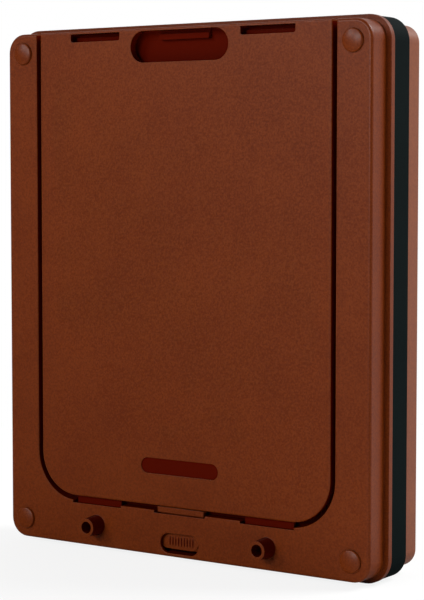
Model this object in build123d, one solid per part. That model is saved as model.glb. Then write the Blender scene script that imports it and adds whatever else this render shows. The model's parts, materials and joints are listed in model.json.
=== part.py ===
from build123d import *
import os

# A dog flap for a door, shown with its closing panel in place. Sizes are in millimetres.
# +X is to the right seen from the room, -Y is towards the room and +Z is up. Y = 0 is the
# back of the room-side flange, which bears on the door, and X = Z = 0 is its middle.

# Room-side frame: flange, raised border and wall thickness
FLANGE_W = 294.0
FLANGE_H = 352.0
FLANGE_R = 16.0
FLANGE_T = 4.0
BORDER_INSET = 3.3
BORDER_RISE = 17.5
EDGE_R = 2.0
MOUTH_EDGE = 0.5
MOUTH_ANGLE = 45.0
SKIN = 2.5

# U-shaped recess for the closing panel, open at the top
SIDE_RAIL_W = 25.0
BOTTOM_RAIL_H = 29.8
RECESS_D = 9.5
RECESS_R = 32.0

# Passage for the animal, framed by a ledge inside the recess
SIDE_LEDGE = 13.7
BOTTOM_LEDGE = 14.9
TOP_BAR_H = 36.7
PASSAGE_R = 18.0

# Spacer frame and outside frame behind the flange
SPACER_INSET = 0.5
SPACER_D = 19.0
SPIGOT_GAP = 0.6
OUTER_INSET = 4.5
OUTER_R = 11.5
OUTER_D = 21.5
OUTER_STEP_W = 12.0
OUTER_STEP_D = 1.6
OUTER_EDGE_R = 2.5

# Three stations across the panel, each with a hook at the top and a foot or tongue below
STATION_PITCH = 68.4
STATION_W = 41.0
NOTCH_D = 1.7

# Keeper lugs on the top bar and the hooks that drop behind them
LUG_W = 39.4
LUG_RISE = 3.5
LUG_H = 3.6
LUG_ARM_T = 1.4
LUG_LIP_T = 1.5
LUG_DROP = 4.0
HOOK_T = 1.3

# Closing panel
PANEL_GAP = 3.2
PANEL_EDGE_R = 1.2
PANEL_WALL_T = 2.2
PANEL_WALL_D = 5.7
PANEL_TOP_T = 1.7
SLOT_H = 5.4
SLOT_R = 1.5
HAND_HOLE_W = 77.7
HAND_HOLE_H = 20.5
HAND_HOLE_RIM = 2.0
BADGE_W = 62.0
BADGE_H = 10.5
BADGE_D = 0.8
BADGE_RISE = 26.2
FOOT_W = 37.0
FOOT_T = 2.2
FOOT_REACH = 12.0
RIB_T = 1.6
RIB_D = 2.4
RIB_ROWS = 5
RIB_EDGE = 12.9
SLIDE_GAP = 0.3

# Press latch, hung on trunnions behind the panel, and its window in the bottom rail
LATCH_W = 34.0
LATCH_T = 1.6
LATCH_GAP = 0.3
LATCH_PIVOT_RISE = 10.0
LATCH_TAIL = 11.0
LATCH_TAIL_T = 1.0
BAR_W = 37.0
BAR_SINK = 1.6
BAR_GAP = 0.7
TRUNNION_R = 1.0
TRUNNION_GAP = 0.06
EAR_T = 2.5
PAD_W = 27.0
PAD_H = 10.4
PAD_RISE = 0.5
WINDOW_W = 30.4
WINDOW_H = 13.0
WINDOW_DROP = 20.8

# Hollow posts on the bottom rail
POST_BASE_R = 7.0
POST_TIP_R = 6.0
POST_H = 11.5
POST_BORE_R = 4.0
POST_BORE_D = 10.0
POST_DROP = 15.1

# Corner fixings: screw, cap and threaded insert on each corner's own axis
FIXING_INSET = 13.4
SCREW_R = 2.5
SCREW_GAP = 0.25
SCREW_L = 45.0
SCREW_HEAD_R = 4.75
SCREW_HEAD_H = 3.4
HEAD_BORE_R = 5.5
HEAD_BORE_D = 9.0
PILLAR_R = 8.5
CAP_R = 7.4
CAP_RISE = 2.8
CAP_RIM = 1.5
CAP_EDGE_R = 1.2
CAP_PLUG_D = 4.0
INSERT_R = 3.75
INSERT_L = 12.0
FIT_GAP = 0.05

# Flap, its hinge and its draught strips
FLAP_GAP = 3.0
FLAP_RIM_W = 11.0
FLAP_RIM_T = 7.0
FLAP_FIELD_T = 3.0
FLAP_FIELD_R = 8.0
HINGE_DROP = 6.5
BARREL_R = 4.5
PIN_R = 2.5
PIN_GRIP = 12.0
PIN_REACH = 8.0
BUSH_WALL = 1.5
BUSH_HEAD_R = 6.0
BUSH_HEAD_T = 1.0
BUSH_BOSS_WALL = 2.5
RUN_GAP = 0.05
PILE_BASE_W = 4.4
PILE_BASE_T = 1.3
PILE_W = 3.0
PILE_TIP_GAP = 0.5
MAGNET_L = 40.0
MAGNET_W = 6.0
MAGNET_T = 2.4
MAGNET_GAP = 0.1

# How far a cut runs past the face that it opens
OVERCUT = 1.0

# Places worked out from the sizes above
BORDER_W = FLANGE_W - 2 * BORDER_INSET
BORDER_H = FLANGE_H - 2 * BORDER_INSET
BORDER_R = FLANGE_R - BORDER_INSET
BORDER_TOP = BORDER_H / 2
FRONT_Y = -(FLANGE_T + BORDER_RISE)
SKIN_Y = FRONT_Y + SKIN
FLOOR_Y = FRONT_Y + RECESS_D

RECESS_W = BORDER_W - 2 * SIDE_RAIL_W
RECESS_BOTTOM = BOTTOM_RAIL_H - BORDER_TOP
PASSAGE_W = RECESS_W - 2 * SIDE_LEDGE
PASSAGE_BOTTOM = RECESS_BOTTOM + BOTTOM_LEDGE
PASSAGE_TOP = BORDER_TOP - TOP_BAR_H

OUTER_W = FLANGE_W - 2 * OUTER_INSET
OUTER_H = FLANGE_H - 2 * OUTER_INSET
OUTER_FRONT_Y = SPACER_D
OUTER_BACK_Y = OUTER_FRONT_Y + OUTER_D

STATIONS = (-STATION_PITCH, 0.0, STATION_PITCH)
SIDE_STATIONS = (-STATION_PITCH, STATION_PITCH)
CORNER_X = BORDER_W / 2 - FIXING_INSET
CORNER_Z = BORDER_H / 2 - FIXING_INSET
CORNERS = {
    "top_left": (-CORNER_X, CORNER_Z),
    "top_right": (CORNER_X, CORNER_Z),
    "bottom_left": (-CORNER_X, -CORNER_Z),
    "bottom_right": (CORNER_X, -CORNER_Z),
}

PANEL_W = RECESS_W - 2 * PANEL_GAP
PANEL_R = RECESS_R - PANEL_GAP
PANEL_BOTTOM = RECESS_BOTTOM + PANEL_GAP
PANEL_TOP = BORDER_TOP
PANEL_SHELF = PANEL_TOP - PANEL_TOP_T
LUG_TOP = BORDER_TOP - LUG_DROP
LUG_BOTTOM = LUG_TOP - LUG_H
LUG_Y = FLOOR_Y - LUG_RISE
HOOK_Y = LUG_Y + LUG_LIP_T + (LUG_RISE - LUG_LIP_T - HOOK_T) / 2

LATCH_Y = SKIN_Y + LATCH_GAP
LATCH_PLATE_Y = LATCH_Y + PAD_RISE
LATCH_BACK_Y = LATCH_PLATE_Y + LATCH_T
PIVOT_Y = LATCH_BACK_Y - TRUNNION_R
PIVOT_Z = PANEL_BOTTOM + LATCH_PIVOT_RISE
WINDOW_Z = RECESS_BOTTOM - WINDOW_DROP
PAD_Z = WINDOW_Z + (WINDOW_H - PAD_H) / 2

HINGE_Y = OUTER_FRONT_Y + OUTER_D / 2
HINGE_Z = PASSAGE_TOP - HINGE_DROP
FLAP_W = PASSAGE_W - 2 * FLAP_GAP
FLAP_BOTTOM = PASSAGE_BOTTOM + FLAP_GAP
FLAP_R = PASSAGE_R - FLAP_GAP
FLAP_FRONT_Y = HINGE_Y - FLAP_RIM_T / 2
FLAP_MAGNET_Z = FLAP_BOTTOM + (FLAP_RIM_W + PILE_BASE_T) / 2
BUSH_R = PIN_R + RUN_GAP + BUSH_WALL
BUSH_BOSS_R = BUSH_R + BUSH_BOSS_WALL


def drawn(outline, y_front, y_back):
    """An outline seen from the room, x across and y up, drawn out between two depths."""
    back = Plane((0, y_back, 0), x_dir=(1, 0, 0), z_dir=(0, -1, 0))
    return extrude(back * outline, amount=y_back - y_front)


def side_section(points, x_mid, width):
    """A closed section of (y, z) points drawn out along X and centred on x_mid."""
    start = Plane((x_mid - width / 2, 0, 0), x_dir=(0, 1, 0), z_dir=(1, 0, 0))
    return extrude(start * make_face(Polyline(*points, close=True)), amount=width)


def rod(x, z, radius, y_front, y_back):
    """A round bar or hole along Y."""
    return drawn(Pos(x, z) * Circle(radius), y_front, y_back)


def cross_rod(y, z, radius, x_start, x_end):
    """A round bar or hole along X."""
    start = Plane((x_start, y, z), x_dir=(0, 1, 0), z_dir=(1, 0, 0))
    return extrude(start * Circle(radius), amount=x_end - x_start)


def tray(width, bottom, top, radius):
    """A rectangle between two heights with its two lower corners rounded."""
    blank = Pos(0, (bottom + top) / 2) * Rectangle(width, top - bottom)
    return fillet(blank.vertices().group_by(Axis.Y)[0], radius)


def mouth(outline):
    """A cutter that chamfers the edge of an opening in the front face, widening towards the room."""
    inner = Plane((0, FRONT_Y + MOUTH_EDGE, 0), x_dir=(1, 0, 0), z_dir=(0, -1, 0))
    return extrude(inner * outline, amount=2 * MOUTH_EDGE, taper=-MOUTH_ANGLE)


def passage(grow):
    """The passage's outline, grown outwards by a wall or a gap."""
    return tray(PASSAGE_W + 2 * grow, PASSAGE_BOTTOM - grow, PASSAGE_TOP + grow, PASSAGE_R + grow)


def inner_frame():
    """Room-side frame: a hollow moulding with the panel's recess, lugs, notches and posts."""
    border = drawn(RectangleRounded(BORDER_W, BORDER_H, BORDER_R), FRONT_Y, -FLANGE_T)
    border = fillet(border.edges().group_by(Axis.Y)[0], EDGE_R)
    frame = border + drawn(RectangleRounded(FLANGE_W, FLANGE_H, FLANGE_R), -FLANGE_T, 0)
    hollow = RectangleRounded(BORDER_W - 2 * SKIN, BORDER_H - 2 * SKIN, BORDER_R - SKIN)
    frame -= drawn(hollow, SKIN_Y, OVERCUT)

    recess_wall = tray(RECESS_W + 2 * SKIN, RECESS_BOTTOM - SKIN, BORDER_TOP - SKIN, RECESS_R + SKIN)
    frame += drawn(recess_wall, SKIN_Y, FLOOR_Y + SKIN)
    recess = tray(RECESS_W, RECESS_BOTTOM, BORDER_TOP + OVERCUT, RECESS_R)
    frame -= drawn(recess, FRONT_Y - OVERCUT, FLOOR_Y)
    frame -= mouth(recess)
    frame += drawn(passage(SKIN), FLOOR_Y, SPACER_D - SPIGOT_GAP)
    frame -= drawn(passage(0), FRONT_Y, SPACER_D)

    for x in STATIONS:
        frame += lug(x)
        notch = Pos(x, RECESS_BOTTOM + (OVERCUT - NOTCH_D) / 2) * Rectangle(STATION_W, NOTCH_D + OVERCUT)
        frame -= drawn(notch, FRONT_Y - OVERCUT, SKIN_Y)
        way_down = Pos(x, RECESS_BOTTOM - SKIN / 2) * Rectangle(STATION_W, SKIN + 2 * OVERCUT)
        frame -= drawn(way_down, SKIN_Y, FLOOR_Y)
    window = Pos(0, WINDOW_Z) * SlotOverall(WINDOW_W, WINDOW_H)
    frame -= drawn(window, FRONT_Y - OVERCUT, SKIN_Y)
    frame -= mouth(window)
    for x in SIDE_STATIONS:
        frame += post(x)
        frame -= rod(x, RECESS_BOTTOM - POST_DROP, POST_BORE_R, FRONT_Y - POST_H, FRONT_Y - POST_H + POST_BORE_D)
    for x, z in CORNERS.values():
        frame += rod(x, z, PILLAR_R, SKIN_Y, 0)
        frame -= rod(x, z, HEAD_BORE_R, FRONT_Y - OVERCUT, FRONT_Y + HEAD_BORE_D)
        frame -= rod(x, z, SCREW_R + SCREW_GAP, FRONT_Y, OVERCUT)
    return frame


def lug(x):
    """A keeper lug on the top bar: an arm with an upturned lip, open at the top."""
    root_y = FLOOR_Y + SKIN / 2
    lip_back = LUG_Y + LUG_LIP_T
    arm_top = LUG_BOTTOM + LUG_ARM_T
    section = [
        (root_y, LUG_BOTTOM),
        (LUG_Y, LUG_BOTTOM),
        (LUG_Y, LUG_TOP),
        (lip_back, LUG_TOP),
        (lip_back, arm_top),
        (root_y, arm_top),
    ]
    return side_section(section, x, LUG_W)


def post(x):
    """A tapered post on the bottom rail, rooted in its skin."""
    base = Plane((x, FRONT_Y, RECESS_BOTTOM - POST_DROP), x_dir=(1, 0, 0), z_dir=(0, -1, 0))
    return base * Cone(POST_BASE_R, POST_TIP_R, POST_H, align=(Align.CENTER, Align.CENTER, Align.MIN))


def closing_panel():
    """Closing panel: a ribbed moulding hung by three hooks, with two feet and the latch's ears."""
    outline = tray(PANEL_W, PANEL_BOTTOM, PANEL_TOP, PANEL_R)
    blank = drawn(outline, FRONT_Y, FRONT_Y + PANEL_WALL_D)
    blank = fillet(blank.edges().group_by(Axis.Y)[0], PANEL_EDGE_R)
    inside = tray(
        PANEL_W - 2 * PANEL_WALL_T,
        PANEL_BOTTOM + PANEL_WALL_T,
        PANEL_SHELF,
        PANEL_R - PANEL_WALL_T,
    )
    panel = blank - drawn(inside, SKIN_Y, FRONT_Y + PANEL_WALL_D + OVERCUT)
    panel += panel_ribs()

    hole_z = PANEL_SHELF - HAND_HOLE_H / 2
    rim = SlotOverall(HAND_HOLE_W + 2 * HAND_HOLE_RIM, HAND_HOLE_H + 2 * HAND_HOLE_RIM)
    panel += drawn(Pos(0, hole_z) * rim, SKIN_Y, FRONT_Y + PANEL_WALL_D) & blank
    hole = Pos(0, hole_z) * SlotOverall(HAND_HOLE_W, HAND_HOLE_H)
    panel -= drawn(hole, FRONT_Y - OVERCUT, FRONT_Y + PANEL_WALL_D + OVERCUT)
    for x in SIDE_STATIONS:
        slot = Pos(x, 0) * tray(STATION_W, PANEL_SHELF - SLOT_H, PANEL_SHELF, SLOT_R)
        panel -= drawn(slot, FRONT_Y - OVERCUT, SKIN_Y)
        panel += foot(x)
    for x in STATIONS:
        panel += hook(x)
    badge = Pos(0, PANEL_BOTTOM + BADGE_RISE) * SlotOverall(BADGE_W, BADGE_H)
    panel -= drawn(badge, FRONT_Y - OVERCUT, FRONT_Y + BADGE_D)

    tongue_way = Pos(0, PANEL_BOTTOM) * Rectangle(LATCH_W + 2 * LATCH_GAP, 2 * (PANEL_WALL_T + OVERCUT))
    panel -= drawn(tongue_way, SKIN_Y, FRONT_Y + PANEL_WALL_D + OVERCUT)
    for side in (-1, 1):
        panel += ear(side)
        panel += runner(side)
    return panel - cross_rod(PIVOT_Y, PIVOT_Z, TRUNNION_R + TRUNNION_GAP, -LATCH_W, LATCH_W)


def panel_ribs():
    """Stiffening ribs behind the panel's skin, between the stations and across."""
    bottom = PANEL_BOTTOM + PANEL_R
    top = PANEL_SHELF - HAND_HOLE_H - 2 * HAND_HOLE_RIM
    bars = Sketch()
    outermost = PANEL_W / 2 - RIB_EDGE
    for x in (-outermost, -STATION_PITCH / 2, STATION_PITCH / 2, outermost):
        bars += Pos(x, (bottom + top) / 2) * Rectangle(RIB_T, top - bottom)
    for row in range(RIB_ROWS):
        z = bottom + (top - bottom) * row / (RIB_ROWS - 1)
        bars += Pos(0, z) * Rectangle(PANEL_W - PANEL_WALL_T, RIB_T)
    return drawn(bars, SKIN_Y, SKIN_Y + RIB_D)


def hook(x):
    """A hook on the panel's top wall: a shelf with a rib that drops behind a keeper lug."""
    rib_bottom = LUG_BOTTOM + LUG_ARM_T + SLIDE_GAP
    root_y = SKIN_Y - SKIN / 2
    section = [
        (root_y, PANEL_TOP),
        (root_y, PANEL_SHELF),
        (HOOK_Y, PANEL_SHELF),
        (HOOK_Y, rib_bottom),
        (HOOK_Y + HOOK_T, rib_bottom),
        (HOOK_Y + HOOK_T, PANEL_TOP),
    ]
    return side_section(section, x, LUG_W)


def foot(x):
    """A foot on the panel's lower edge that drops behind the bottom rail, with a lead-in."""
    front = SKIN_Y + LATCH_GAP + PAD_RISE
    tip = PANEL_BOTTOM - FOOT_REACH
    section = [
        (front, PANEL_BOTTOM + PANEL_WALL_T),
        (front, tip + FOOT_T),
        (front + FOOT_T / 2, tip),
        (front + FOOT_T, tip),
        (front + FOOT_T, PANEL_BOTTOM + PANEL_WALL_T),
    ]
    return side_section(section, x, FOOT_W)


def ear(side):
    """One of the two ears behind the panel that hold the latch's trunnions."""
    x = side * (LATCH_W / 2 + LATCH_GAP + EAR_T / 2)
    reach = FRONT_Y + PANEL_WALL_D
    height = 3 * TRUNNION_R
    section = [
        (SKIN_Y - SKIN / 2, PIVOT_Z - 2 * height),
        (SKIN_Y - SKIN / 2, PIVOT_Z + 2 * height),
        (SKIN_Y, PIVOT_Z + 2 * height),
        (reach, PIVOT_Z + height),
        (reach, PIVOT_Z - height),
        (SKIN_Y, PIVOT_Z - 2 * height),
    ]
    return side_section(section, x, EAR_T)


def runner(side):
    """A runner down one side of the panel that slides along the recess floor."""
    bottom = PANEL_BOTTOM + PANEL_R
    x = side * (PANEL_W - PANEL_WALL_T) / 2
    strip = Pos(x, (bottom + PANEL_TOP) / 2) * Rectangle(PANEL_WALL_T, PANEL_TOP - bottom)
    return drawn(strip, SKIN_Y, FLOOR_Y - SLIDE_GAP)


def press_latch():
    """Press latch: a plate on trunnions, with a bar in the notch, a raised pad and a spring tail."""
    plate = tray(LATCH_W, PAD_Z - PAD_H / 2, PIVOT_Z, PAD_H / 2)
    latch = drawn(plate, LATCH_PLATE_Y, LATCH_BACK_Y)
    latch += drawn(Pos(0, PAD_Z) * SlotOverall(PAD_W, PAD_H), LATCH_Y, LATCH_PLATE_Y)
    bar_bottom = RECESS_BOTTOM - NOTCH_D + BAR_GAP
    bar_top = PANEL_BOTTOM - BAR_GAP
    bar = Pos(0, (bar_bottom + bar_top) / 2) * Rectangle(BAR_W, bar_top - bar_bottom)
    latch += drawn(bar, FRONT_Y + BAR_SINK, LATCH_BACK_Y)
    tail = Pos(0, PIVOT_Z + LATCH_TAIL / 2) * Rectangle(LATCH_W / 2, LATCH_TAIL)
    latch += drawn(tail, LATCH_BACK_Y - LATCH_TAIL_T, LATCH_BACK_Y)
    half = LATCH_W / 2 + LATCH_GAP + EAR_T
    return latch + cross_rod(PIVOT_Y, PIVOT_Z, TRUNNION_R, -half, half)


def spacer_frame():
    """Spacer frame: a channel moulding round the passage, open at the back."""
    width = FLANGE_W - 2 * SPACER_INSET
    height = FLANGE_H - 2 * SPACER_INSET
    radius = FLANGE_R - SPACER_INSET
    frame = drawn(RectangleRounded(width, height, radius), 0, SPACER_D)
    channel = RectangleRounded(width - 2 * SKIN, height - 2 * SKIN, radius - SKIN)
    channel -= passage(2 * SKIN + SPIGOT_GAP)
    frame -= drawn(channel, SKIN, SPACER_D + OVERCUT)
    frame -= drawn(passage(SKIN + SPIGOT_GAP), -OVERCUT, SPACER_D + OVERCUT)
    for x, z in CORNERS.values():
        frame += rod(x, z, PILLAR_R, SKIN, SPACER_D)
        frame -= rod(x, z, SCREW_R + SCREW_GAP, -OVERCUT, SPACER_D + OVERCUT)
    return frame


def outer_frame():
    """Outside frame: a channel moulding that carries the flap, stepped round the passage."""
    frame = drawn(RectangleRounded(OUTER_W, OUTER_H, OUTER_R), OUTER_FRONT_Y, OUTER_BACK_Y)
    frame = fillet(frame.edges().group_by(Axis.Y)[-1], OUTER_EDGE_R)
    channel = RectangleRounded(OUTER_W - 2 * SKIN, OUTER_H - 2 * SKIN, OUTER_R - SKIN) - passage(SKIN)
    frame -= drawn(channel, OUTER_FRONT_Y - OVERCUT, OUTER_BACK_Y - SKIN - OUTER_STEP_D)
    frame -= drawn(passage(OUTER_STEP_W), OUTER_BACK_Y - OUTER_STEP_D, OUTER_BACK_Y + OVERCUT)

    channel_back = OUTER_BACK_Y - SKIN - OUTER_STEP_D
    for x, z in CORNERS.values():
        frame += rod(x, z, PILLAR_R, OUTER_FRONT_Y, channel_back)
        frame -= rod(x, z, INSERT_R + FIT_GAP, OUTER_FRONT_Y - OVERCUT, OUTER_FRONT_Y + INSERT_L)
        frame -= rod(x, z, SCREW_R + SCREW_GAP, OUTER_FRONT_Y, FRONT_Y + HEAD_BORE_D + SCREW_L + OVERCUT)
    boss_end = PASSAGE_W / 2 + PIN_REACH
    for side in (-1, 1):
        frame += cross_rod(HINGE_Y, HINGE_Z, BUSH_BOSS_R, side * PASSAGE_W / 2, side * boss_end)
    sill = Pos(0, PASSAGE_BOTTOM - (MAGNET_T + SKIN) / 2) * Rectangle(MAGNET_L + 2 * SKIN, MAGNET_T + SKIN)
    frame += drawn(sill, OUTER_FRONT_Y, channel_back)
    frame -= drawn(passage(0), OUTER_FRONT_Y - OVERCUT, OUTER_BACK_Y + OVERCUT)
    for side in (-1, 1):
        start = side * (PASSAGE_W / 2 - OVERCUT)
        frame -= cross_rod(HINGE_Y, HINGE_Z, BUSH_R + FIT_GAP, start, side * (boss_end + OVERCUT))
    return frame - magnet_block(HINGE_Y, PASSAGE_BOTTOM - MAGNET_T, MAGNET_GAP, OVERCUT)


def magnet_block(y_mid, bottom, grow, overcut):
    """The sill magnet, or its pocket when grown all round and cut through the top."""
    size = Pos(0, bottom - grow + (MAGNET_T + grow + overcut) / 2) * Rectangle(
        MAGNET_L + 2 * grow, MAGNET_T + grow + overcut
    )
    return drawn(size, y_mid - MAGNET_W / 2 - grow, y_mid + MAGNET_W / 2 + grow)


def flap():
    """Flap: a rim round a thinner field, with a hinge barrel, strip grooves and a magnet pocket."""
    plate = drawn(tray(FLAP_W, FLAP_BOTTOM, HINGE_Z, FLAP_R), FLAP_FRONT_Y, FLAP_FRONT_Y + FLAP_RIM_T)
    field_h = HINGE_Z - BARREL_R - FLAP_BOTTOM - 2 * FLAP_RIM_W
    field_z = FLAP_BOTTOM + FLAP_RIM_W + field_h / 2
    field = Pos(0, field_z) * RectangleRounded(FLAP_W - 2 * FLAP_RIM_W, field_h, FLAP_FIELD_R)
    plate -= drawn(field, FLAP_FRONT_Y - OVERCUT, HINGE_Y - FLAP_FIELD_T / 2)
    plate -= drawn(field, HINGE_Y + FLAP_FIELD_T / 2, FLAP_FRONT_Y + FLAP_RIM_T + OVERCUT)
    plate += cross_rod(HINGE_Y, HINGE_Z, BARREL_R, -FLAP_W / 2, FLAP_W / 2)
    for side in (-1, 1):
        plate -= pile_strip(side, FIT_GAP)
        start = side * (FLAP_W / 2 - PIN_GRIP)
        plate -= cross_rod(HINGE_Y, HINGE_Z, PIN_R + FIT_GAP, start, side * (FLAP_W / 2 + OVERCUT))
    plate -= pile_strip(0, FIT_GAP)
    return plate - flap_magnet(MAGNET_GAP, OVERCUT)


def pile_strip(side, grow):
    """A draught strip on the flap's left (-1), right (1) or lower (0) edge: backing and pile.

    Grown by a gap, it is the groove that the backing sits in.
    """
    base_half = PILE_BASE_W / 2 + grow
    pile_half = PILE_W / 2 + grow
    tip = FLAP_GAP - PILE_TIP_GAP
    section = [
        (-base_half, -PILE_BASE_T - grow),
        (-base_half, 0),
        (-pile_half, 0),
        (-pile_half, tip),
        (pile_half, tip),
        (pile_half, 0),
        (base_half, 0),
        (base_half, -PILE_BASE_T - grow),
    ]
    profile = make_face(Polyline(*section, close=True))
    if side == 0:
        length = FLAP_W - 2 * FLAP_R + 2 * grow
        start = Plane((length / 2, HINGE_Y, FLAP_BOTTOM), x_dir=(0, 1, 0), z_dir=(-1, 0, 0))
        return extrude(start * profile, amount=length)
    bottom = FLAP_BOTTOM + FLAP_R - grow
    top = HINGE_Z - BUSH_HEAD_R - FLAP_GAP + grow
    start = Plane((side * FLAP_W / 2, HINGE_Y, bottom), x_dir=(0, -side, 0), z_dir=(0, 0, 1))
    return extrude(start * profile, amount=top - bottom)


def flap_magnet(grow, overcut):
    """The flap's magnet, flush in the lower rim's room side, or its pocket when grown."""
    size = Pos(0, FLAP_MAGNET_Z) * Rectangle(MAGNET_L + 2 * grow, MAGNET_W + 2 * grow)
    return drawn(size, FLAP_FRONT_Y - overcut, FLAP_FRONT_Y + MAGNET_T + grow)


def hinge_pin(side):
    """A steel pin gripped in the flap's barrel and running in the frame's bush."""
    return cross_rod(HINGE_Y, HINGE_Z, PIN_R, side * (FLAP_W / 2 - PIN_GRIP), side * (PASSAGE_W / 2 + PIN_REACH))


def hinge_bush(side):
    """A headed bush in the frame's side wall."""
    wall = side * PASSAGE_W / 2
    bush = cross_rod(HINGE_Y, HINGE_Z, BUSH_R, wall, wall + side * PIN_REACH)
    bush += cross_rod(HINGE_Y, HINGE_Z, BUSH_HEAD_R, wall - side * BUSH_HEAD_T, wall)
    ends = (wall - side * (BUSH_HEAD_T + OVERCUT), wall + side * (PIN_REACH + OVERCUT))
    return bush - cross_rod(HINGE_Y, HINGE_Z, PIN_R + RUN_GAP, *ends)


def fixing_screw(x, z):
    """A pan-head screw from the room side's counterbore to the outside frame's insert."""
    seat = FRONT_Y + HEAD_BORE_D
    head = rod(x, z, SCREW_HEAD_R, seat - SCREW_HEAD_H, seat)
    head = fillet(head.edges().group_by(Axis.Y)[0], SCREW_HEAD_H / 2)
    return head + rod(x, z, SCREW_R, seat, seat + SCREW_L)


def screw_cap(x, z):
    """A domed cap with a rounded rim, and a plug that fills the mouth of the screw's counterbore."""
    dome_rise = CAP_RISE - CAP_RIM
    sphere_r = (CAP_R**2 + dome_rise**2) / (2 * dome_rise)
    cap = Pos(x, FRONT_Y + sphere_r - CAP_RISE, z) * Sphere(sphere_r)
    cap &= rod(x, z, CAP_R, FRONT_Y - CAP_RISE, FRONT_Y)
    rims = cap.edges().filter_by(lambda edge: edge.is_closed).sort_by(Axis.Y)
    cap = fillet(rims[0], CAP_EDGE_R)
    return cap + rod(x, z, HEAD_BORE_R - SCREW_GAP, FRONT_Y, FRONT_Y + CAP_PLUG_D)


def threaded_insert(x, z):
    """A brass insert in the outside frame's corner pillar."""
    insert = rod(x, z, INSERT_R, OUTER_FRONT_Y, OUTER_FRONT_Y + INSERT_L)
    return insert - rod(x, z, SCREW_R + FIT_GAP, OUTER_FRONT_Y - OVERCUT, OUTER_FRONT_Y + INSERT_L + OVERCUT)


pieces = {
    "inner_frame": inner_frame(),
    "closing_panel": closing_panel(),
    "press_latch": press_latch(),
    "spacer_frame": spacer_frame(),
    "outer_frame": outer_frame(),
    "sill_magnet": magnet_block(HINGE_Y, PASSAGE_BOTTOM - MAGNET_T, 0, 0),
    "flap": flap(),
    "flap_magnet": flap_magnet(0, 0),
    "pile_left": pile_strip(-1, 0),
    "pile_right": pile_strip(1, 0),
    "pile_bottom": pile_strip(0, 0),
}
for name, side in (("left", -1), ("right", 1)):
    pieces["hinge_pin_" + name] = hinge_pin(side)
    pieces["hinge_bush_" + name] = hinge_bush(side)
for name, (x, z) in CORNERS.items():
    pieces["screw_cap_" + name] = screw_cap(x, z)
    pieces["fixing_screw_" + name] = fixing_screw(x, z)
    pieces["threaded_insert_" + name] = threaded_insert(x, z)

os.makedirs("parts", exist_ok=True)
for name, piece in pieces.items():
    export_step(piece, "parts/" + name + ".step")
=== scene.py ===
# %% [markdown]
# A dog flap is two moulded frames that clamp a door between them, with a swinging flap in the
# passage. The one made here also has a closing panel, which drops into the room-side frame to
# shut the passage. All its rigid pieces arrive as solids in metres, already in place, so this
# lesson gives them their finishes and adds what is too fine for a solid: the pile of the flap's
# draught strips and the grip ribs on the press pad.

# %% Load the solids
import bpy
import json
import math
from mathutils import Euler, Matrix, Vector


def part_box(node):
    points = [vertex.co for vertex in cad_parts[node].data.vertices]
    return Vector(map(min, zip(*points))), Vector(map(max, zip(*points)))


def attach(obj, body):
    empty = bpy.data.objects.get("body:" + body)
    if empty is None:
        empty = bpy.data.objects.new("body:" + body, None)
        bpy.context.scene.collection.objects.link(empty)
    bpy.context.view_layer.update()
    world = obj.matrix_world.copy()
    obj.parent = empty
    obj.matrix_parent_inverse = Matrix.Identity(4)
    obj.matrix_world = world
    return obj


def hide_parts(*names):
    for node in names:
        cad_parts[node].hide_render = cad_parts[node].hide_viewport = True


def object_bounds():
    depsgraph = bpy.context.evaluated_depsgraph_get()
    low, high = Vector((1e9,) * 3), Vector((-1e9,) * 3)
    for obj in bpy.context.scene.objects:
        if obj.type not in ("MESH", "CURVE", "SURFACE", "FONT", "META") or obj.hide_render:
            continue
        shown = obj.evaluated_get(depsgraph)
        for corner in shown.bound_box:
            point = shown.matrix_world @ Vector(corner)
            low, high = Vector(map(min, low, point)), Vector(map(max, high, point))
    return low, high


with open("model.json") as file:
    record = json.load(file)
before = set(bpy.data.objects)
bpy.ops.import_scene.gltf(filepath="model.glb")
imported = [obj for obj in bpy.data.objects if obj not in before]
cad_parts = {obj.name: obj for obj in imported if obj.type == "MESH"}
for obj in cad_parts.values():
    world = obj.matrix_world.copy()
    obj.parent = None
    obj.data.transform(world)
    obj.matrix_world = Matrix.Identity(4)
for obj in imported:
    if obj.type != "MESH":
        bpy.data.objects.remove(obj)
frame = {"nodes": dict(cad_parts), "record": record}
cad_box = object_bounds()
nodes = frame["nodes"]
MM = 0.001

# %% [markdown]
# Colours are written as the sRGB hex values that a colour picker shows, while a shader works in
# linear light, so one function translates. A second one adds a node, sets its properties and
# fills its sockets with either a plain value or another node's output. The others are the steps
# that come up again in every finish, so that each finish below reads as a short list.

# %% Helpers for every finish


def linear(hex_code):
    """An sRGB hex colour as linear red, green, blue and alpha."""
    channels = [int(hex_code[i : i + 2], 16) / 255 for i in (1, 3, 5)]
    return [c / 12.92 if c <= 0.04045 else ((c + 0.055) / 1.055) ** 2.4 for c in channels] + [1.0]


def put(tree, kind, sockets=None, **settings):
    """Add a node with its settings, then give each named socket a value or a link."""
    node = tree.nodes.new(kind)
    for name, value in settings.items():
        setattr(node, name, value)
    for name, value in (sockets or {}).items():
        if isinstance(value, bpy.types.NodeSocket):
            tree.links.new(value, node.inputs[name])
        else:
            node.inputs[name].default_value = value
    return node


def blank_material(name):
    """A material with an empty tree, and the tree to fill."""
    material = bpy.data.materials.new(name)
    material.use_nodes = True
    material.node_tree.nodes.clear()
    return material, material.node_tree


def finished(tree, shader):
    """Send a shader to the material's output."""
    put(tree, "ShaderNodeOutputMaterial", {"Surface": shader.outputs[0]})


def calculated(tree, operation, first, second):
    """One sum on two numbers or sockets."""
    return put(tree, "ShaderNodeMath", {0: first, 1: second}, operation=operation).outputs[0]


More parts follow.
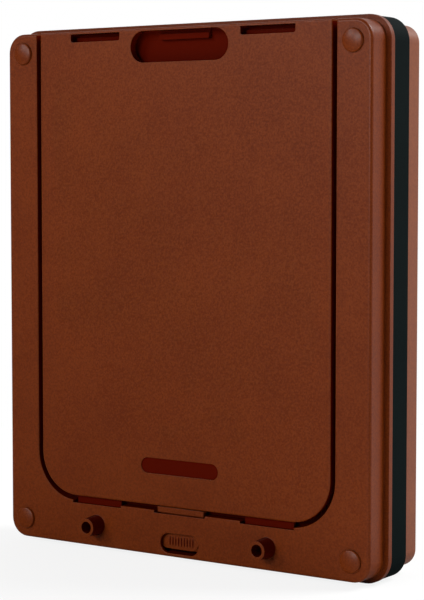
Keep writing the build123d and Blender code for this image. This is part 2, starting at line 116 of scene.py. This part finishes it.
def ranged(tree, value, from_low=0.0, from_high=1.0, to_low=0.0, to_high=1.0):
    """A number carried from one range into another and held at its ends."""
    sockets = {
        "Value": value,
        "From Min": from_low,
        "From Max": from_high,
        "To Min": to_low,
        "To Max": to_high,
    }
    return put(tree, "ShaderNodeMapRange", sockets).outputs[0]


def blended(tree, share, first, second):
    """A colour between two others, each of them a colour or a socket."""
    sockets = {0: share, 6: first, 7: second}
    return put(tree, "ShaderNodeMix", sockets, data_type="RGBA").outputs[2]


def noise(tree, place, size_mm, detail):
    """Soft patches of one size as a number from 0 to 1."""
    sockets = {"Vector": place, "Scale": 1 / (size_mm * MM), "Detail": detail}
    return put(tree, "ShaderNodeTexNoise", sockets).outputs["Fac"]


print("a brown of #5C2102 is", [round(c, 3) for c in linear("#5C2102")], "in linear light")

# %% [markdown]
# The frames, the panel and the latch are injection-moulded ABS, brown all through. The steel
# mould was spark-eroded where it shaped an outside face, which leaves a fine grain that scatters
# a whitish sheen, and polished inside the recesses and round the posts, so those come out smooth.
# Those places also get a darker, redder brown, which is painted shade for the shade that falls in
# the recesses and on the posts' sides. A mask built from the surface's own place tells the two
# apart: it is 1 behind the front face inside the border, and 1 on the walls of the posts that
# stand before it. Faces that look to the rear, such as the panel's back, are left out and have the
# plain finish. Painting faces would do as well, but the solids' meshes stay as they came.

# %% Where the mould was polished and shade is painted
FRONT_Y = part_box("closing_panel")[0].y
POST_TIP_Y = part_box("inner_frame")[0].y
POLISH_AND_SHADE_HALF_WIDTH = 120 * MM
POLISH_AND_SHADE_HALF_HEIGHT = 171.5 * MM
REAR_FACING = 0.5
POLISH_AND_SHADE_FADE = 0.3 * MM


def polish_and_painted_shade_zone(tree, place):
    """1 in the recesses and round the posts, which get a polish and painted shade, and 0 elsewhere."""
    axes = put(tree, "ShaderNodeSeparateXYZ", {0: place}).outputs
    behind = ranged(tree, axes["Y"], FRONT_Y + POLISH_AND_SHADE_FADE, FRONT_Y + 2 * POLISH_AND_SHADE_FADE)
    before = ranged(tree, axes["Y"], FRONT_Y - POLISH_AND_SHADE_FADE, FRONT_Y - 2 * POLISH_AND_SHADE_FADE)
    below_tip = ranged(tree, axes["Y"], POST_TIP_Y, POST_TIP_Y + POLISH_AND_SHADE_FADE)
    polish_and_shade_mask = calculated(tree, "MAXIMUM", behind, calculated(tree, "MULTIPLY", before, below_tip))
    for axis, half in (("X", POLISH_AND_SHADE_HALF_WIDTH), ("Z", POLISH_AND_SHADE_HALF_HEIGHT)):
        distance = calculated(tree, "ABSOLUTE", axes[axis], 0.0)
        polish_and_shade_mask = calculated(tree, "MULTIPLY", polish_and_shade_mask, calculated(tree, "LESS_THAN", distance, half))
    facing = put(tree, "ShaderNodeTexCoord").outputs["Normal"]
    rearward = put(tree, "ShaderNodeSeparateXYZ", {0: facing}).outputs["Y"]
    return calculated(tree, "MULTIPLY", polish_and_shade_mask, calculated(tree, "LESS_THAN", rearward, REAR_FACING))


print("posts stand", round((FRONT_Y - POST_TIP_Y) / MM, 1), "mm before the front face")

# %% [markdown]
# Smooth ABS reflects about 4.4 percent straight on, the value that an IOR of 1.53 gives. The pits
# of a grain swallow a part of that, so each finish sets its specular level below the neutral 0.5.
# In the recesses it is lower still, since the photograph shows hardly any sheen there. A fine
# noise texture drives the grain's bump and roughness. Together with a coarse one, for the
# cloudiness that slow cooling leaves, it lets the colour drift between two close browns. The real
# grain is about 0.3 mm, less than a pixel here, so it is drawn three to four times as coarse to
# show at all. The moulding's edges are broken by a few tenths of a millimetre. A Bevel node turns
# the normals there, which is enough for the thin lights that run along a groove, and needs no
# extra faces.

# %% Moulded plastic
ABS_IOR = 1.53
GRAIN_MM = 1.1
GRAIN_DEPTH_MM = 0.06
GRAIN_RELIEF = 0.4
CLOUD_MM = 40
CLOUD_WEIGHT = 0.3
DEEP_UP_TO, PALE_FROM = 0.475, 0.825
EDGE_MM = 0.4
EDGE_SAMPLES = 6
ROUGHNESS_SPREAD = 0.06
POLISHED_ROUGHNESS = 0.22
POLISHED_SPECULAR = 0.05


def moulded_abs(name, deep, pale, roughness, specular, polish_and_painted_shade=None):
    """Moulded ABS that drifts between two close colours, with polish and painted shade in recesses if
    asked.
    """
    material, tree = blank_material(name)
    place = put(tree, "ShaderNodeTexCoord").outputs["Object"]
    cloud = noise(tree, place, CLOUD_MM, detail=3.0)
    grain = noise(tree, place, GRAIN_MM, detail=2.0)
    both = calculated(tree, "ADD", calculated(tree, "MULTIPLY", cloud, CLOUD_WEIGHT), grain)
    colour = blended(tree, ranged(tree, both, DEEP_UP_TO, PALE_FROM), linear(deep), linear(pale))
    smoothest, dullest = roughness - ROUGHNESS_SPREAD, roughness + ROUGHNESS_SPREAD
    dullness = ranged(tree, grain, to_low=smoothest, to_high=dullest)
    relief = GRAIN_RELIEF
    if polish_and_painted_shade:
        polish_and_shade_mask = polish_and_painted_shade_zone(tree, place)
        # painted shade: the recesses and the posts' sides take this darker, redder brown
        colour = blended(tree, polish_and_shade_mask, colour, linear(polish_and_painted_shade))
        levels = {0: polish_and_shade_mask, 2: dullness, 3: POLISHED_ROUGHNESS}
        dullness = put(tree, "ShaderNodeMix", levels).outputs[0]
        relief = ranged(tree, polish_and_shade_mask, to_low=GRAIN_RELIEF, to_high=0.0)
        specular = ranged(tree, polish_and_shade_mask, to_low=specular, to_high=POLISHED_SPECULAR)
    edges = put(tree, "ShaderNodeBevel", {"Radius": EDGE_MM * MM}, samples=EDGE_SAMPLES)
    surface = put(
        tree,
        "ShaderNodeBump",
        {
            "Height": grain,
            "Strength": relief,
            "Distance": GRAIN_DEPTH_MM * MM,
            "Normal": edges.outputs[0],
        },
    )
    shader = put(
        tree,
        "ShaderNodeBsdfPrincipled",
        {
            "Base Color": colour,
            "Roughness": dullness,
            "Normal": surface.outputs[0],
            "IOR": ABS_IOR,
            "Specular IOR Level": specular,
        },
    )
    finished(tree, shader)
    return material


BROWN = {"deep": "#5C2102", "pale": "#6D2D05", "roughness": 0.36, "specular": 0.18}
brown_abs = moulded_abs("brown_abs_spark_grained", **BROWN)
# painted shade: #4A0A00 is the darker brown painted in the recesses and round the posts
brown_room_abs_painted_shade = moulded_abs("brown_abs_grained_polished_painted_shade", polish_and_painted_shade="#4A0A00", **BROWN)
brown_polished_abs = moulded_abs(
    "brown_abs_polished", "#3A0801", "#4A0D03", POLISHED_ROUGHNESS, BROWN["specular"]
)
# painted light: the outside frame's paler brown stands for the brighter light it gets near the paper
# behind
brown_outside_abs_painted_light = moulded_abs("brown_abs_outside_painted_lighter", "#6A3010", "#7A3E1C", 0.42, 0.32)
black_abs = moulded_abs("black_abs_moulded", "#040B0B", "#081313", 0.72, 0.03)
mouldings = (brown_abs, brown_room_abs_painted_shade, brown_polished_abs, brown_outside_abs_painted_light, black_abs)
print("made", *(material.name for material in mouldings))

# %% [markdown]
# The small inner pieces and the pile are of five more materials. Zinc plating on the steel screws
# and hinge pins is bright with a faint cloudy passivation. Brass inserts are turned on a lathe,
# nylon bushes are moulded in natural white, the magnets are sintered ferrite, ground grey-black,
# and the pile is dull black polypropylene. Each is a metal or a plain solid whose roughness a
# noise texture makes uneven.

# %% Metals, nylon, ferrite and fibre


def uneven(name, deep, pale, metallic, rough_low, rough_high, patch_mm):
    """A material whose colour and roughness vary in soft patches of one size."""
    material, tree = blank_material(name)
    place = put(tree, "ShaderNodeTexCoord").outputs["Object"]
    patch = noise(tree, place, patch_mm, detail=4.0)
    shader = put(
        tree,
        "ShaderNodeBsdfPrincipled",
        {
            "Base Color": blended(tree, patch, linear(deep), linear(pale)),
            "Roughness": ranged(tree, patch, to_low=rough_low, to_high=rough_high),
            "Metallic": metallic,
        },
    )
    finished(tree, shader)
    return material


zinc_steel = uneven("zinc_plated_steel_passivated", "#A9ADB0", "#C4C8CA", 1.0, 0.22, 0.42, 4)
insert_brass = uneven("brass_turned", "#A8843C", "#C9A557", 1.0, 0.2, 0.38, 3)
white_nylon = uneven("nylon_moulded_natural", "#D6D2C4", "#E4E1D6", 0.0, 0.38, 0.52, 6)
ferrite = uneven("ferrite_sintered_ground", "#2B2B2D", "#3A3A3C", 0.0, 0.55, 0.75, 1.5)
pile_fibre = uneven("polypropylene_pile_woven", "#161616", "#242424", 0.0, 0.6, 0.85, 1.2)
print("made", zinc_steel.name, insert_brass.name, white_nylon.name, ferrite.name, pile_fibre.name)

# %% [markdown]
# Each solid carries the name of a material slot in the record, which says what the real piece
# is made of, so the finishes are handed out by that name instead of piece by piece. Named one by
# one are the two mouldings with polished recesses and painted shade in them, and the outside
# frame, which has a paler copy of the brown: painted light, for the brighter light it gets from
# the paper behind.

# %% Hand out the finishes
finishes = {
    "brown_abs": brown_abs,
    "black_abs": black_abs,
    "pile": pile_fibre,
    "white_nylon": white_nylon,
    "zinc_steel": zinc_steel,
    "insert_brass": insert_brass,
    "ferrite": ferrite,
}
special = {
    "inner_frame": brown_room_abs_painted_shade,
    "closing_panel": brown_room_abs_painted_shade,
    "outer_frame": brown_outside_abs_painted_light,
}
for subpart in frame["record"]["subparts"]:
    finish = special.get(subpart["node"], finishes[subpart["material_slot"]])
    for place in nodes[subpart["node"]].material_slots:
        place.material = finish
print("dressed", len(nodes), "solids")

# %% [markdown]
# Pile weatherstrip is a woven backing with thousands of stiff fibres standing on it. The solids
# have its plain section only. Geometry Nodes grow the real thing: the input mesh is one flat
# face for each strip's backing, which is extruded to its thickness, and points are scattered
# over it at a least distance, which looks woven without being regular. A number across the
# face, from -1 to 1, keeps the fibres off the backing's two bare margins.

# %% Grow the draught strips' pile
BACKING_WIDTH_MM, PILE_WIDTH_MM = 4.4, 3.0
MOST_FIBRES_PER_M2 = 1e7
PILE_SIZES = {
    "Backing thickness": 1.3 * MM,
    "Bare margin from": PILE_WIDTH_MM / BACKING_WIDTH_MM,
    "Fibre spacing": 0.55 * MM,
    "Fibre radius": 0.2 * MM,
    "Fibre tip radius": 0.05 * MM,
    "Fibre length": 2.5 * MM,
    "Fibre lean": math.radians(9),
}


def tree_with_sizes(name, sizes):
    """An empty geometry tree that takes and gives a mesh, with a named input for each size."""
    tree = bpy.data.node_groups.new(name, "GeometryNodeTree")
    tree.interface.new_socket("Mesh", in_out="INPUT", socket_type="NodeSocketGeometry")
    tree.interface.new_socket("Mesh", in_out="OUTPUT", socket_type="NodeSocketGeometry")
    for size in sizes:
        tree.interface.new_socket(size, in_out="INPUT", socket_type="NodeSocketFloat")
    return tree, put(tree, "NodeGroupInput").outputs


def grown(name, mesh, tree, sizes):
    """Run a geometry tree on a mesh with its sizes set, and keep the result as a plain mesh."""
    piece = bpy.data.objects.new(name, mesh)
    bpy.context.scene.collection.objects.link(piece)
    modifier = piece.modifiers.new(name, "NODES")
    modifier.node_group = tree
    for socket in tree.interface.items_tree:
        if socket.name in sizes:
            modifier[socket.identifier] = sizes[socket.name]
    evaluated = piece.evaluated_get(bpy.context.evaluated_depsgraph_get())
    result = bpy.data.meshes.new_from_object(evaluated)
    piece.modifiers.clear()
    piece.data = result
    return piece


pile_tree, given = tree_with_sizes("draught_pile", PILE_SIZES)
backing = put(
    pile_tree,
    "GeometryNodeExtrudeMesh",
    {"Mesh": given["Mesh"], "Offset Scale": given["Backing thickness"], "Individual": False},
)
under = put(pile_tree, "GeometryNodeFlipFaces", {"Mesh": given["Mesh"]})
top = put(
    pile_tree,
    "GeometryNodeSeparateGeometry",
    {"Geometry": backing.outputs["Mesh"], "Selection": backing.outputs["Top"]},
    domain="FACE",
)
scatter = put(
    pile_tree,
    "GeometryNodeDistributePointsOnFaces",
    {
        "Mesh": top.outputs["Selection"],
        "Distance Min": given["Fibre spacing"],
        "Density Max": MOST_FIBRES_PER_M2,
        "Seed": 3,
    },
    distribute_method="POISSON",
)
named = put(pile_tree, "GeometryNodeInputNamedAttribute", {"Name": "across"}, data_type="FLOAT")
off_middle = calculated(pile_tree, "ABSOLUTE", named.outputs[0], 0.0)
bare = calculated(pile_tree, "GREATER_THAN", off_middle, given["Bare margin from"])
rooted = put(
    pile_tree,
    "GeometryNodeDeleteGeometry",
    {"Geometry": scatter.outputs["Points"], "Selection": bare},
    domain="POINT",
)
both_ways = put(
    pile_tree, "ShaderNodeCombineXYZ", {"X": given["Fibre lean"], "Y": given["Fibre lean"]}
)
most = both_ways.outputs[0]
least = put(pile_tree, "ShaderNodeVectorMath", {0: most, "Scale": -1.0}, operation="SCALE").outputs[0]
lean = put(
    pile_tree,
    "FunctionNodeRandomValue",
    {0: least, 1: most, "Seed": 5},
    data_type="FLOAT_VECTOR",
)
stand = put(
    pile_tree,
    "FunctionNodeRotateRotation",
    {"Rotation": scatter.outputs["Rotation"], "Rotate By": lean.outputs[0]},
    rotation_space="LOCAL",
)
fibre = put(
    pile_tree,
    "GeometryNodeMeshCone",
    {
        "Vertices": 4,
        "Radius Top": given["Fibre tip radius"],
        "Radius Bottom": given["Fibre radius"],
        "Depth": given["Fibre length"],
    },
    fill_type="NONE",
)
standing = put(
    pile_tree,
    "GeometryNodeInstanceOnPoints",
    {"Points": rooted.outputs[0], "Instance": fibre.outputs["Mesh"], "Rotation": stand.outputs[0]},
)
strips = put(pile_tree, "GeometryNodeJoinGeometry")
for source in (under.outputs[0], backing.outputs["Mesh"], standing.outputs[0]):
    pile_tree.links.new(source, strips.inputs[0])
real = put(pile_tree, "GeometryNodeRealizeInstances", {"Geometry": strips.outputs[0]})
dyed = put(pile_tree, "GeometryNodeSetMaterial", {"Geometry": real.outputs[0], "Material": pile_fibre})
put(pile_tree, "NodeGroupOutput", {"Mesh": dyed.outputs[0]})
print("pile tree has", len(pile_tree.nodes), "nodes")

# %% [markdown]
# The three faces lie where the solids' strips have the backs of their backings: at the flap's
# left and right edges and along the bottom. Each face is wound so that it looks out of the flap,
# because the extrusion and the fibres follow its normal.

# %% Lay the strips on the flap
strip_names = ("pile_left", "pile_right", "pile_bottom")
left, right, bottom = (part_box(name) for name in strip_names)


def upright_back(x, first_y, second_y, low_z, high_z):
    """The four corners of an upright strip's back, wound from its first edge to its second."""
    return [(x, first_y, low_z), (x, second_y, low_z), (x, second_y, high_z), (x, first_y, high_z)]


def level_back(z, first_y, second_y, low_x, high_x):
    """The four corners of a level strip's back, wound in the same way."""
    return [(low_x, first_y, z), (low_x, second_y, z), (high_x, second_y, z), (high_x, first_y, z)]


corners = [
    *upright_back(left[1].x, left[1].y, left[0].y, left[0].z, left[1].z),
    *upright_back(right[0].x, right[0].y, right[1].y, right[0].z, right[1].z),
    *level_back(bottom[1].z, bottom[0].y, bottom[1].y, bottom[0].x, bottom[1].x),
]
backs = bpy.data.meshes.new("strip_backs")
backs.from_pydata(corners, [], [(0, 1, 2, 3), (4, 5, 6, 7), (8, 9, 10, 11)])
backs.attributes.new("across", "FLOAT", "POINT")
strip_middle_y = (left[0].y + left[1].y) / 2
for vertex, across in zip(backs.vertices, backs.attributes["across"].data):
    across.value = 1.0 if vertex.co.y > strip_middle_y else -1.0
draught_pile = grown("draught_pile", backs, pile_tree, PILE_SIZES)
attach(draught_pile, "flap")
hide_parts(*strip_names)
print("the three strips have", len(draught_pile.data.polygons), "faces")

# %% [markdown]
# A thumb finds the press pad by a row of small raised ribs. They are one rib on a row of points,
# so Geometry Nodes place them too. A rib is a ball stretched tall and pressed flat, sunk to its
# middle in the pad, which gives a soft ridge that runs out at both ends as a moulded one does.
# The mould's grooves for them are too narrow to grain, so the ribs come out polished and dark.

# %% Ribs on the press pad
RIB_COUNT = 9
PAD_HALF_HEIGHT = 5.2 * MM
PAD_DEPTH = 2.8 * MM
RIB_SIZES = {
    "Pitch": 2.3 * MM,
    "Rib width": 1.0 * MM,
    "Rib length": 6.4 * MM,
    "Rib height": 0.45 * MM,
    "Pad middle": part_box("press_latch")[0].z + PAD_HALF_HEIGHT,
    "Pad face": FRONT_Y + PAD_DEPTH,
}
rib_tree, given = tree_with_sizes("press_pad_ribs", RIB_SIZES)
half_row = calculated(rib_tree, "MULTIPLY", given["Pitch"], -(RIB_COUNT - 1) / 2)
first = put(
    rib_tree,
    "ShaderNodeCombineXYZ",
    {"X": half_row, "Y": given["Pad face"], "Z": given["Pad middle"]},
)
step = put(rib_tree, "ShaderNodeCombineXYZ", {"X": given["Pitch"]})
row = put(
    rib_tree,
    "GeometryNodeMeshLine",
    {"Count": RIB_COUNT, "Start Location": first.outputs[0], "Offset": step.outputs[0]},
)
ball = put(rib_tree, "GeometryNodeMeshUVSphere", {"Segments": 16, "Rings": 12, "Radius": 1.0})
stretch = put(
    rib_tree,
    "ShaderNodeCombineXYZ",
    {
        "X": calculated(rib_tree, "MULTIPLY", given["Rib width"], 0.5),
        "Y": given["Rib height"],
        "Z": calculated(rib_tree, "MULTIPLY", given["Rib length"], 0.5),
    },
)
ribs = put(
    rib_tree,
    "GeometryNodeInstanceOnPoints",
    {"Points": row.outputs[0], "Instance": ball.outputs["Mesh"], "Scale": stretch.outputs[0]},
)
real = put(rib_tree, "GeometryNodeRealizeInstances", {"Geometry": ribs.outputs[0]})
smooth = put(rib_tree, "GeometryNodeSetShadeSmooth", {"Geometry": real.outputs[0]})
dyed = put(
    rib_tree,
    "GeometryNodeSetMaterial",
    {"Geometry": smooth.outputs[0], "Material": brown_polished_abs},
)
put(rib_tree, "NodeGroupOutput", {"Mesh": dyed.outputs[0]})
pad_ribs = grown("press_pad_ribs", bpy.data.meshes.new("pad_row"), rib_tree, RIB_SIZES)
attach(pad_ribs, "latch")
print(RIB_COUNT, "ribs on the pad in", len(pad_ribs.data.polygons), "faces")

# %% [markdown]
# The photograph was taken from the right and a little above the middle, with a long lens. The
# outlines of the four layers gave the camera's place. In the photograph upright edges are quite
# upright, which a shifted lens or a retouch does. Here the camera simply looks down by four
# degrees, which leans those edges by a little over two pixels at most and keeps the part in the
# middle of the picture from any other side too.

# %% Camera
CAMERA_PLACE = (0.72845, -1.02711, 0.0833)
YAW_DEG = 34.923
LOOK_DOWN_DEG = 3.989
LENS_MM = 115.21
SENSOR_MM = 36.0
camera_data = bpy.data.cameras.new("photo_camera")
camera_data.lens = LENS_MM
camera_data.sensor_width = SENSOR_MM
camera = bpy.data.objects.new("photo_camera", camera_data)
camera.location = CAMERA_PLACE
camera.rotation_euler = Euler((math.radians(90 - LOOK_DOWN_DEG), 0, math.radians(YAW_DEG)))
bpy.context.scene.collection.objects.link(camera)
bpy.context.scene.camera = camera
print("camera stands", round(camera.location.length, 3), "m from the flange's middle")

# %% [markdown]
# The light is that of a small product studio: a soft box far in front, one to the left, one high
# at the right rear for the walls that face that way and for the back, and a white sweep of paper
# behind. The sheen that the front boxes leave on the grain is strongest at the top and dies away
# to the low left, and the border shades the flange from the left one, which is how their places
# were found. The walls that face right mirror the paper, while the front mirrors the dark room
# behind the camera. The world plays paper and room by direction, and is plain white wherever the
# camera looks past the part.

# %% Light


def soft_box(name, place, size, watts):
    """A square area lamp that looks at the middle of the part."""
    lamp = bpy.data.lights.new(name, "AREA")
    lamp.energy = watts
    lamp.size = size
    box = bpy.data.objects.new(name, lamp)
    box.location = place
    box.rotation_euler = (-Vector(place)).to_track_quat("-Z", "Y").to_euler()
    bpy.context.scene.collection.objects.link(box)


soft_box("box_left_front", (-1.3, -2.0, 1.2), 0.75, 19)
soft_box("box_front", (-0.3, -3.2, 0.9), 1.0, 46)
soft_box("box_right_rear", (1.5, 1.4, 1.9), 1.2, 90)

ROOM_LIGHT, ROOM_MIRRORED = 0.06, 0.02
PAPER_LIGHT, PAPER_MIRRORED = 0.7, 0.7
PAPER_FROM, PAPER_FULL = -0.1, 0.4
world = bpy.data.worlds.new("studio")
world.use_nodes = True
studio = world.node_tree
studio.nodes.clear()
path = put(studio, "ShaderNodeLightPath").outputs
direction = put(studio, "ShaderNodeTexCoord").outputs["Generated"]
rearward = put(studio, "ShaderNodeSeparateXYZ", {0: direction}).outputs["Y"]
paper = ranged(studio, rearward, PAPER_FROM, PAPER_FULL)
mirrored = calculated(studio, "MAXIMUM", path["Is Glossy Ray"], path["Is Transmission Ray"])
room_strength = ranged(studio, mirrored, to_low=ROOM_LIGHT, to_high=ROOM_MIRRORED)
paper_strength = ranged(studio, mirrored, to_low=PAPER_LIGHT, to_high=PAPER_MIRRORED)
sweep = calculated(studio, "MULTIPLY", paper, paper_strength)
around = calculated(studio, "MAXIMUM", sweep, room_strength)
strength = calculated(studio, "MAXIMUM", around, path["Is Camera Ray"])
surround = put(studio, "ShaderNodeBackground", {"Color": linear("#FFFFFF"), "Strength": strength})
put(studio, "ShaderNodeOutputWorld", {"Surface": surround.outputs[0]})
bpy.context.scene.world = world
print("the paper behind lights the part at", PAPER_LIGHT, "and the room at", ROOM_LIGHT)

# %% [markdown]
# The floor is a sheet of white paper. Far away it has to melt into the white surround, and near
# the part it has to take a soft shadow. So the camera sees a glow that grows with the distance
# from the part, and the lit paper shows through where the glow is weaker. Mirror rays see only a
# glow, as they see the world: pale behind the part and dark in front of it.

# %% Floor
FLOOR_HALF = 6.0
GLOW_NEAR, GLOW_FAR = 0.85, 1.0
NEAR_UP_TO, FAR_FROM = 0.2, 0.7
DARK_UP_TO_Y, PALE_FROM_Y = -0.03, 0.12
floor_paint, floor_tree = blank_material("white_paper_floor")
path = put(floor_tree, "ShaderNodeLightPath").outputs
place = put(floor_tree, "ShaderNodeTexCoord").outputs["Object"]
distance = put(floor_tree, "ShaderNodeVectorMath", {0: place}, operation="LENGTH").outputs["Value"]
far = ranged(floor_tree, distance, NEAR_UP_TO, FAR_FROM, GLOW_NEAR, GLOW_FAR)
mirrored = calculated(floor_tree, "MAXIMUM", path["Is Glossy Ray"], path["Is Transmission Ray"])
rearward = put(floor_tree, "ShaderNodeSeparateXYZ", {0: place}).outputs["Y"]
behind = ranged(
    floor_tree, rearward, DARK_UP_TO_Y, PALE_FROM_Y, ROOM_MIRRORED, PAPER_MIRRORED
)
glow_strength = put(floor_tree, "ShaderNodeMix", {0: mirrored, 2: 1.0, 3: behind}).outputs[0]
camera_share = calculated(floor_tree, "MULTIPLY", path["Is Camera Ray"], far)
glow_share = calculated(floor_tree, "MAXIMUM", camera_share, mirrored)
sheet = put(floor_tree, "ShaderNodeBsdfDiffuse", {"Color": linear("#F2F2F2")})
glow = put(
    floor_tree,
    "ShaderNodeEmission",
    {"Color": linear("#FFFFFF"), "Strength": glow_strength},
)
floor_look = put(
    floor_tree,
    "ShaderNodeMixShader",
    {0: glow_share, 1: sheet.outputs[0], 2: glow.outputs[0]},
)
finished(floor_tree, floor_look)
floor_z = cad_box[0][2]
floor_mesh = bpy.data.meshes.new("floor")
quarters = ((-1, -1), (1, -1), (1, 1), (-1, 1))
sheet_corners = [(FLOOR_HALF * x, FLOOR_HALF * y, floor_z) for x, y in quarters]
floor_mesh.from_pydata(sheet_corners, [], [(0, 1, 2, 3)])
floor_mesh.materials.append(floor_paint)
floor = bpy.data.objects.new("floor", floor_mesh)
bpy.context.scene.collection.objects.link(floor)
bpy.context.scene.view_settings.view_transform = "Standard"
print("floor at", round(floor_z / MM, 1), "mm")
